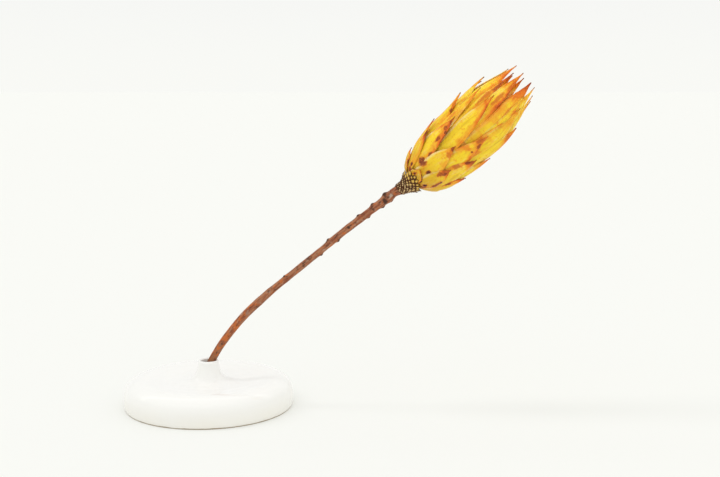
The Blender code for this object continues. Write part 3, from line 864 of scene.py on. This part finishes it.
def bract_material(name, warmth):
    """A bract's skin: yellow, redder to its sides and tip, with stains; warmth reddens it all.

    Part of the right sides' red and a few stains are painted shade, and the pale edges painted
    highlight.
    """
    material, tree, shader = new_material(name)
    leaf = add_node(tree, "ShaderNodeAttribute", attribute_name="leaf").outputs["Vector"]
    blush_and_shade = add_node(tree, "ShaderNodeAttribute", attribute_name="blush_and_shade").outputs["Vector"]
    marks = add_node(tree, "ShaderNodeAttribute", attribute_name="marks").outputs["Vector"]
    across, along = add_node(tree, "ShaderNodeSeparateXYZ", (leaf,)).outputs[:2]
    left, right, top = add_node(tree, "ShaderNodeSeparateXYZ", (blush_and_shade,)).outputs[:3]
    warm, stain_and_shade, depth = add_node(tree, "ShaderNodeSeparateXYZ", (marks,)).outputs[:3]
    rise = add_node(tree, "ShaderNodeAttribute", attribute_name="rise").outputs["Fac"]
    place = add_node(tree, "ShaderNodeTexCoord").outputs["Object"]
    fibres = add_node(tree, "ShaderNodeGroup", node_tree=dry_fibres)
    tree.links.new(leaf, fibres.inputs["Leaf"])
    fibres.inputs["Lines"].default_value = 12.0
    fibre, cloud = fibres.outputs["Fibre"], fibres.outputs["Cloud"]
    drift = minus(tree, cloud, 0.5)
    streak = minus(tree, fibre, 0.5)
    grit = minus(tree, noise_of(tree, place, 520.0, 4.0, 0.65), 0.5)
    bands = minus(tree, noise_of(tree, place, 110.0, 2.0, 0.5), 0.5)
    patches = minus(tree, noise_of(tree, place, 260.0, 3.0, 0.6, 0.6), 0.5)

    rough_side = plus(tree, across, times(tree, drift, 0.9))
    upper = fade(tree, along, 0.15, 0.60, 0.30, 1.0)
    red_left = times(tree, fade(tree, rough_side, -0.20, -1.05), left)
    # Painted shade in part: the right edges, turned from the lamps, are reddened and darkened.
    red_right_and_shade = times(tree, fade(tree, rough_side, 0.0, 1.05), right)
    red_sides = times(tree, math_of(tree, "MAXIMUM", red_left, red_right_and_shade), upper)
    rough_tip = plus(tree, along, times(tree, drift, 0.40))
    red_tip = times(tree, fade(tree, rough_tip, 0.58, 1.0), top)
    red = math_of(tree, "MAXIMUM", red_sides, red_tip)
    both = times(tree, red_sides, red_tip)
    red = plus(tree, red, times(tree, both, 0.5))
    red = plus(tree, red, warm)
    red = plus(tree, red, times(tree, bands, 0.9))
    red = plus(tree, red, times(tree, patches, 0.5))
    streaked = times(tree, streak, fade(tree, red, 0.0, 0.4, 0.3, 0.6))
    red = plus(tree, plus(tree, red, streaked), warmth)

    dull = fade(tree, plus(tree, rise, times(tree, drift, 24.0)), 34.0, 8.0)
    dull = times(tree, dull, 0.8)
    color = blend_colors(tree, fade(tree, cloud, 0.50, 0.70, 0.0, 0.5), BRACT_YELLOW, BRACT_OCHRE)
    color = blend_colors(tree, dull, color, BRACT_OCHRE)
    # Painted highlight: the pale streaks along the fibres are partly the bract's own tone and
    # partly highlight, and the thin edges, most of all the left ones that face the lamps, are
    # painted highlight.
    pale_streak_and_highlight = times(tree, fade(tree, cloud, 0.50, 0.34), fade(tree, fibre, 0.40, 0.62))
    left_edge_highlight = fade(tree, across, -0.62, -0.94)
    left_edge_highlight = times(tree, left_edge_highlight, fade(tree, left, 0.8, 0.2))
    right_edge_highlight = fade(tree, across, 0.70, 0.96)
    right_edge_highlight = times(tree, right_edge_highlight, fade(tree, right, 0.45, 0.1))
    edge_highlight = math_of(tree, "MAXIMUM", left_edge_highlight, right_edge_highlight)
    pale_streak_and_highlight = math_of(tree, "MAXIMUM", times(tree, pale_streak_and_highlight, 0.5), edge_highlight)
    color = blend_colors(tree, pale_streak_and_highlight, color, BRACT_PALE_HIGHLIGHT)
    color = blend_colors(tree, fade(tree, red, 0.10, 0.38, 0.0, 0.9), color, BRACT_AMBER)
    color = blend_colors(tree, fade(tree, red, 0.38, 0.66), color, BRACT_ORANGE)
    color = blend_colors(tree, fade(tree, red, 0.66, 0.92), color, BRACT_RED)
    color = blend_colors(tree, fade(tree, red, 0.95, 1.25), color, BRACT_RUST)
    color = blend_colors(tree, fade(tree, along, 0.975, 1.0, 0.0, 0.6), color, BRACT_RUST)

    blot = plus(tree, stain_and_shade, times(tree, grit, 1.5))
    color = blend_colors(tree, fade(tree, blot, 0.14, 0.62, 0.0, 0.75), color, BRACT_ORANGE)
    rusty = times(tree, fade(tree, blot, 0.34, 0.80), fade(tree, depth, 0.0, 0.4))
    color = blend_colors(tree, times(tree, rusty, 0.85), color, BRACT_RUST)
    dark = times(tree, fade(tree, blot, 0.50, 0.90), fade(tree, depth, 0.4, 1.0))
    color = blend_colors(tree, dark, color, BRACT_WINE)
    fleck = noise_of(tree, place, 650.0, 2.0, 0.5)
    color = blend_colors(tree, fade(tree, fleck, 0.58, 0.70, 0.0, 0.45), color, BRACT_ORANGE)
    tree.links.new(color, shader.inputs["Base Color"])
    tree.links.new(fade(tree, fibre, 0.3, 0.7, 0.36, 0.52), shader.inputs["Roughness"])
    cockle = plus(tree, fibre, times(tree, patches, 1.6))
    bump = add_node(
        tree, "ShaderNodeBump", {"Strength": 0.8, "Distance": 0.32 * MM, "Height": cockle}
    )
    tree.links.new(bump.outputs[0], shader.inputs["Normal"])
    shader.inputs["Specular IOR Level"].default_value = 0.15
    shader.inputs["Subsurface Weight"].default_value = 0.35
    shader.inputs["Subsurface Radius"].default_value = (0.5, 0.5, 0.2)
    shader.inputs["Subsurface Scale"].default_value = 1.5 * MM
    return material


# How far each bract has reddened: index to its left side, its right side, its tip and all over.
# The right side's red is partly the bract's own colour and partly painted shade on the edges that
# turn from the lamps; on bract 36 it also paints the shade inside the cup.
BLUSH_AND_SHADE = {
    0: (0.4, 0.5, 0.6, 0.0),
    2: (0.3, 0.3, 0.5, 0.0),
    3: (0.6, 0.5, 1.0, 0.05),
    4: (0.9, 0.6, 1.0, 0.05),
    5: (0.3, 0.3, 1.1, 0.0),
    7: (0.9, 0.5, 0.9, 0.1),
    8: (0.7, 0.3, 0.9, 0.1),
    10: (0.1, 0.3, 0.5, 0.05),
    12: (0.8, 0.3, 0.8, 0.05),
    13: (0.35, 0.1, 1.0, 0.0),
    15: (0.0, 0.8, 0.95, 0.0),
    16: (0.05, 0.35, 0.75, 0.0),
    18: (0.4, 0.5, 0.45, 0.0),
    20: (0.0, 0.35, 0.45, 0.0),
    21: (0.15, 0.5, 0.7, 0.0),
    23: (0.05, 0.6, 0.6, 0.0),
    25: (0.1, 0.3, 0.5, 0.0),
    26: (0.3, 0.15, 0.35, 0.12),
    28: (0.2, 0.1, 0.4, 0.12),
    29: (0.3, 0.3, 0.6, 0.0),
    30: (0.0, 0.1, 0.3, 0.0),
    31: (0.2, 0.3, 0.45, 0.0),
    33: (0.0, 0.5, 0.7, 0.0),
    34: (0.3, 0.1, 0.5, 0.0),
    36: (0.1, 0.75, 0.6, 0.0),
    38: (0.2, 0.2, 0.5, 0.0),
    39: (0.35, 0.3, 0.6, 0.18),
    40: (0.0, 0.2, 0.5, 0.0),
    41: (0.05, 0.5, 0.8, 0.12),
    42: (0.1, 0.1, 0.4, 0.0),
}
# Stains, where damp dried to rust and wine: bract, place across and along it, half-width and
# half-length in mm, and depth from orange at 0 to near black at 1. The two bands on bract 36 and
# the middle band on bract 39 are painted shade, under an overhanging bract and in a fold.
STAINS_AND_SHADE = (
    (2, -0.2, 0.53, 1.3, 1.2, 1.0),
    (2, 1.0, 0.50, 1.0, 4.0, 0.85),
    (2, -1.0, 0.60, 1.0, 3.0, 0.85),
    (2, 0.7, 0.11, 1.2, 1.0, 1.0),
    (2, -0.9, 0.09, 1.2, 1.0, 0.9),
    (4, 0.9, 0.45, 1.2, 2.6, 0.45),
    (5, -0.4, 0.86, 2.4, 3.0, 0.22),
    (5, 0.0, 0.80, 1.6, 2.2, 0.5),
    (5, -0.3, 0.70, 1.9, 2.6, 0.3),
    (5, 0.74, 0.40, 1.3, 5.0, 0.45),
    (5, 0.17, 0.17, 1.4, 1.7, 0.95),
    (5, 0.5, 0.10, 1.5, 2.0, 0.5),
    (5, 0.83, 0.56, 1.1, 1.5, 0.9),
    (7, 0.6, 0.23, 1.2, 1.6, 0.9),
    (7, 0.6, 0.13, 1.4, 2.4, 0.45),
    (8, -0.7, 0.56, 1.2, 3.6, 0.5),
    (10, 0.17, 0.32, 1.6, 2.0, 1.0),
    (10, -0.78, 0.36, 2.2, 2.2, 0.55),
    (10, 0.3, 0.94, 2.0, 2.0, 0.5),
    (10, 0.4, 0.82, 2.0, 2.8, 0.15),
    (12, 0.9, 0.74, 0.9, 1.2, 0.8),
    (13, -0.7, 0.69, 2.1, 3.0, 0.2),
    (13, 0.1, 0.93, 2.1, 3.0, 0.25),
    (13, -0.6, 0.87, 1.6, 2.4, 0.6),
    (15, 0.5, 0.28, 2.9, 2.8, 0.62),
    (15, 0.8, 0.42, 1.1, 2.0, 0.55),
    (15, 0.5, 0.64, 1.5, 2.6, 0.35),
    (15, 0.8, 0.77, 1.2, 1.4, 0.8),
    (15, 0.3, 0.81, 1.7, 2.2, 0.3),
    (15, 0.7, 0.91, 1.4, 1.9, 0.4),
    (18, -0.5, 0.90, 1.7, 3.8, 0.22),
    (18, 0.5, 0.84, 1.6, 2.6, 0.35),
    (18, -0.6, 0.72, 2.2, 2.4, 0.0),
    (18, 0.3, 0.74, 1.0, 1.0, 0.5),
    (20, 0.8, 0.86, 1.6, 3.4, 0.1),
    (20, 0.9, 0.80, 1.0, 2.0, 0.35),
    (21, 0.1, 0.86, 1.8, 3.2, 0.15),
    (26, 0.0, 0.34, 1.8, 3.0, 0.05),
    (28, -0.1, 0.58, 1.4, 5.5, 0.05),
    (31, 0.3, 0.80, 1.6, 2.6, 0.0),
    # Painted shade: these two rows of bract 36 stand for the shade under an overhanging bract.
    (36, 0.5, 0.82, 1.3, 6.0, 0.15),
    (36, 0.25, 0.62, 1.4, 7.0, 0.15),
    (39, -0.2, 0.84, 2.2, 4.0, 0.0),
    # Painted shade: this band down the middle of bract 39 stands for the shade in a fold.
    (39, 0.0, 0.60, 1.7, 5.0, 0.12),
    (41, 0.20, 0.60, 1.4, 8.0, 0.15),
    (41, 0.40, 0.78, 1.2, 6.0, 0.25),
)
bm = bmesh.new()
leaf_layer = bm.verts.layers.float_vector.new("leaf")
blush_and_shade_layer = bm.verts.layers.float_vector.new("blush_and_shade")
marks_layer = bm.verts.layers.float_vector.new("marks")
rise_layer = bm.verts.layers.float.new("rise")
for index in range(BRACTS):
    shape = bract_shape(index)
    draws = random.Random(40 + index)
    usual = (draws.uniform(0.1, 0.4), draws.uniform(0.1, 0.5), draws.uniform(0.5, 0.9), 0.03)
    left, right, top, warm = BLUSH_AND_SHADE.get(index, usual)
    stain_and_shade_spots = [mark[1:] for mark in STAINS_AND_SHADE if mark[0] == index]
    blade = bmesh.ops.create_grid(bm, x_segments=BLADE_COLUMNS, y_segments=BLADE_ROWS, size=1.0)
    for vert in blade["verts"]:
        across = vert.co.x
        along = 1.0 - (0.5 * (1.0 - vert.co.y)) ** ROW_CROWDING
        stain_and_shade, depth = 0.0, 0.0
        for spot_across, spot_along, wide, long, dark in stain_and_shade_spots:
            side = (across - spot_across) * bract_half_width(shape, along)
            run = (along - spot_along) * shape["span"]
            near = math.exp(-((side / wide) ** 2) - (run / long) ** 2)
            if near > stain_and_shade:
                stain_and_shade, depth = near, dark
        vert.co = head_place @ bract_point(shape, across, along)
        vert[leaf_layer] = Vector((across, along, shape["seed"]))
        vert[blush_and_shade_layer] = Vector((left, right, top))
        vert[marks_layer] = Vector((warm, stain_and_shade, depth))
        vert[rise_layer] = shape["root"] + shape["span"] * along
bmesh.ops.remove_doubles(bm, verts=bm.verts, dist=10.0 * MERGE)
bracts = add_piece(
    bm,
    "bracts_dry",
    [bract_material("bract_outside", 0.0), bract_material("bract_inside", 0.15)],
    "bracts",
)
shell = bracts.modifiers.new("Thickness", "SOLIDIFY")
shell.thickness = BRACT_THICKNESS
shell.offset = -1.0
shell.material_offset = 1

# -------------------------------------------------------------------------------------- Florets
# The bracts enclose a dense bed of dry florets, of which only the tawny, hair-fine styles show at
# the open top. The bed is a turned mound, and each style is a slender cone that leans inwards.
STYLES = 110
STYLE_SIDES = 5
# Sizes of the styles in mm, their lean as a slope, and how their roots follow the mound.
STYLE_SPREAD = 9.5
STYLE_LENGTHS = (16.0, 27.0)
STYLE_THICK = 0.34
STYLE_THIN = 0.10
STYLE_LEAN = (-0.25, 0.05)
ROOTS_HEIGHT = 70.0
ROOTS_FALL = 0.06
# The bed in mm: radius and height of its mound, and how far it keeps inside the outline below.
BED_MOUND = ((0.0, 73.0), (6.0, 72.2), (11.0, 69.0), (14.5, 63.0))
BED_HEIGHTS = (54.0, 40.0, 27.0, 18.0, 11.0)
BED_INSIDE = 4.6
BED_RISE = 0.4
BED_SIDES = 48
STYLE_TAWNY = (1.0, 0.56, 0.06)
STYLE_BROWN = (0.75, 0.25, 0.03)


def style_material():
    """Tawny to brown, dull and a little fuzzy."""
    material, tree, shader = new_material("dry_styles")
    place = add_node(tree, "ShaderNodeTexCoord").outputs["Object"]
    mottle = noise_of(tree, place, 500.0, 3.0, 0.6)
    color = blend_colors(tree, fade(tree, mottle, 0.35, 0.65), STYLE_TAWNY, STYLE_BROWN)
    tree.links.new(color, shader.inputs["Base Color"])
    shader.inputs["Roughness"].default_value = 0.75
    shader.inputs["Sheen Weight"].default_value = 0.3
    return material


bm = bmesh.new()
bed = [*BED_MOUND]
for height in BED_HEIGHTS:
    bed.append((outline_radius(height) - BED_INSIDE, height))
bed.append((0.0, JOIN_HEIGHT / MM + BED_RISE))
spin_profile(bm, [(radius * MM, height * MM) for radius, height in bed], BED_SIDES)
draws = random.Random(21)
for _ in range(STYLES):
    turn = draws.uniform(0.0, 2.0 * math.pi)
    away = STYLE_SPREAD * math.sqrt(draws.random())
    length = draws.uniform(*STYLE_LENGTHS)
    style = bmesh.ops.create_cone(
        bm,
        cap_ends=True,
        segments=STYLE_SIDES,
        radius1=STYLE_THICK,
        radius2=STYLE_THIN,
        depth=length,
    )
    outward = Vector((math.cos(turn), math.sin(turn), 0.0))
    foot = outward * away + Vector((0.0, 0.0, ROOTS_HEIGHT - ROOTS_FALL * away**2))
    swing = outward * draws.uniform(*STYLE_LEAN)
    for vert in style["verts"]:
        rise = vert.co.z + 0.5 * length
        vert.co = (foot + Vector((vert.co.x, vert.co.y, rise)) + swing * rise) * MM
for vert in bm.verts:
    vert.co = head_place @ vert.co
add_piece(bm, "floret_bed", [style_material()])

# ---------------------------------------------------------------------------------------- Stage
# A white sweep that glows a little, as in a light box, so shadows stay faint. A pale dome of light
# surrounds it, greyer above and brighter in front, with one bright strip across it. A long soft
# lamp to the left is stood for by four weak ones at different heights. Then the camera.
FLOOR_HALF = 30.0
FLOOR_DROP = 0.02 * MM
FLOOR_GREY = 0.50
FLOOR_GLOW = (0.372, 0.377, 0.341)
DOME_LOW = (0.945, 0.95, 0.915)
DOME_HIGH = (0.915, 0.92, 0.905)
DOME_TOP = (0.86, 0.86, 0.85)
FRONT_LIGHT = 1.32
STRIP_LIGHT = 0.9
STRIP_SLOPE = 0.53
LAMP_HEIGHTS = (42.0, 54.0, 66.0, 80.0)
LAMP_BEHIND = 0.07
LAMP_STRENGTH = 0.155
LAMP_SOFTNESS = math.radians(12.0)
CAMERA_PLACE = (100.4 * MM, -711.2 * MM, 211.4 * MM)
CAMERA_DIP = 7.98
CAMERA_LENS = 55.0

material, tree, shader = new_material("glowing_floor")
shader.inputs["Base Color"].default_value = (FLOOR_GREY, FLOOR_GREY, FLOOR_GREY, 1.0)
shader.inputs["Roughness"].default_value = 0.9
shader.inputs["Specular IOR Level"].default_value = 0.0
shader.inputs["Emission Color"].default_value = (*FLOOR_GLOW, 1.0)
shader.inputs["Emission Strength"].default_value = 1.0
bm = bmesh.new()
bmesh.ops.create_grid(bm, x_segments=1, y_segments=1, size=FLOOR_HALF)
floor_mesh = bpy.data.meshes.new("floor")
bm.to_mesh(floor_mesh)
bm.free()
floor_mesh.materials.append(material)
floor = bpy.data.objects.new("floor", floor_mesh)
bpy.context.scene.collection.objects.link(floor)
floor.location.z = -FLOOR_DROP

world = bpy.data.worlds.new("studio")
bpy.context.scene.world = world
world.use_nodes = True
sky = world.node_tree
way = add_node(sky, "ShaderNodeTexCoord").outputs["Generated"]
side, front, rise = add_node(sky, "ShaderNodeSeparateXYZ", (way,)).outputs[:3]
shade = blend_colors(sky, fade(sky, rise, 0.0, 0.12), DOME_LOW, DOME_HIGH)
shade = blend_colors(sky, fade(sky, rise, 0.12, 0.60), shade, DOME_TOP)
sky.links.new(shade, sky.nodes["Background"].inputs["Color"])
# The strip runs over the vase from left to right, a little behind it, and never low down.
strip = minus(sky, front, times(sky, rise, STRIP_SLOPE))
strip = math_of(sky, "ABSOLUTE", strip)
strip = times(sky, fade(sky, strip, 0.10, 0.05), fade(sky, rise, 0.30, 0.45))
side = fade(sky, side, -0.6, 0.6, 0.90, 1.10)
level = times(sky, fade(sky, front, 0.2, -0.8, 1.0, FRONT_LIGHT), side)
level = plus(sky, level, times(sky, strip, STRIP_LIGHT))
# Near the horizon the dome stays even, because that is the backdrop behind the vase.
high = fade(sky, rise, 0.09, 0.20)
extra = times(sky, minus(sky, level, 1.0), high)
level = plus(sky, extra, 1.0)
sky.links.new(level, sky.nodes["Background"].inputs["Strength"])

for lamp_height in LAMP_HEIGHTS:
    lamp_data = bpy.data.lights.new("lamp", "SUN")
    lamp_data.energy = LAMP_STRENGTH
    lamp_data.angle = LAMP_SOFTNESS
    lamp = bpy.data.objects.new("lamp", lamp_data)
    bpy.context.scene.collection.objects.link(lamp)
    lamp.visible_glossy = False
    climb = math.sin(math.radians(lamp_height))
    toward = Vector((-math.cos(math.radians(lamp_height)), LAMP_BEHIND * climb, climb))
    lamp.rotation_euler = toward.to_track_quat("Z", "Y").to_euler()

camera_data = bpy.data.cameras.new("camera")
camera_data.sensor_width = 36.0
camera_data.lens = CAMERA_LENS
camera = bpy.data.objects.new("camera", camera_data)
bpy.context.scene.collection.objects.link(camera)
camera.location = CAMERA_PLACE
camera.rotation_euler = (math.radians(90.0 - CAMERA_DIP), 0.0, 0.0)
bpy.context.scene.camera = camera
bpy.context.scene.view_settings.view_transform = "Standard"
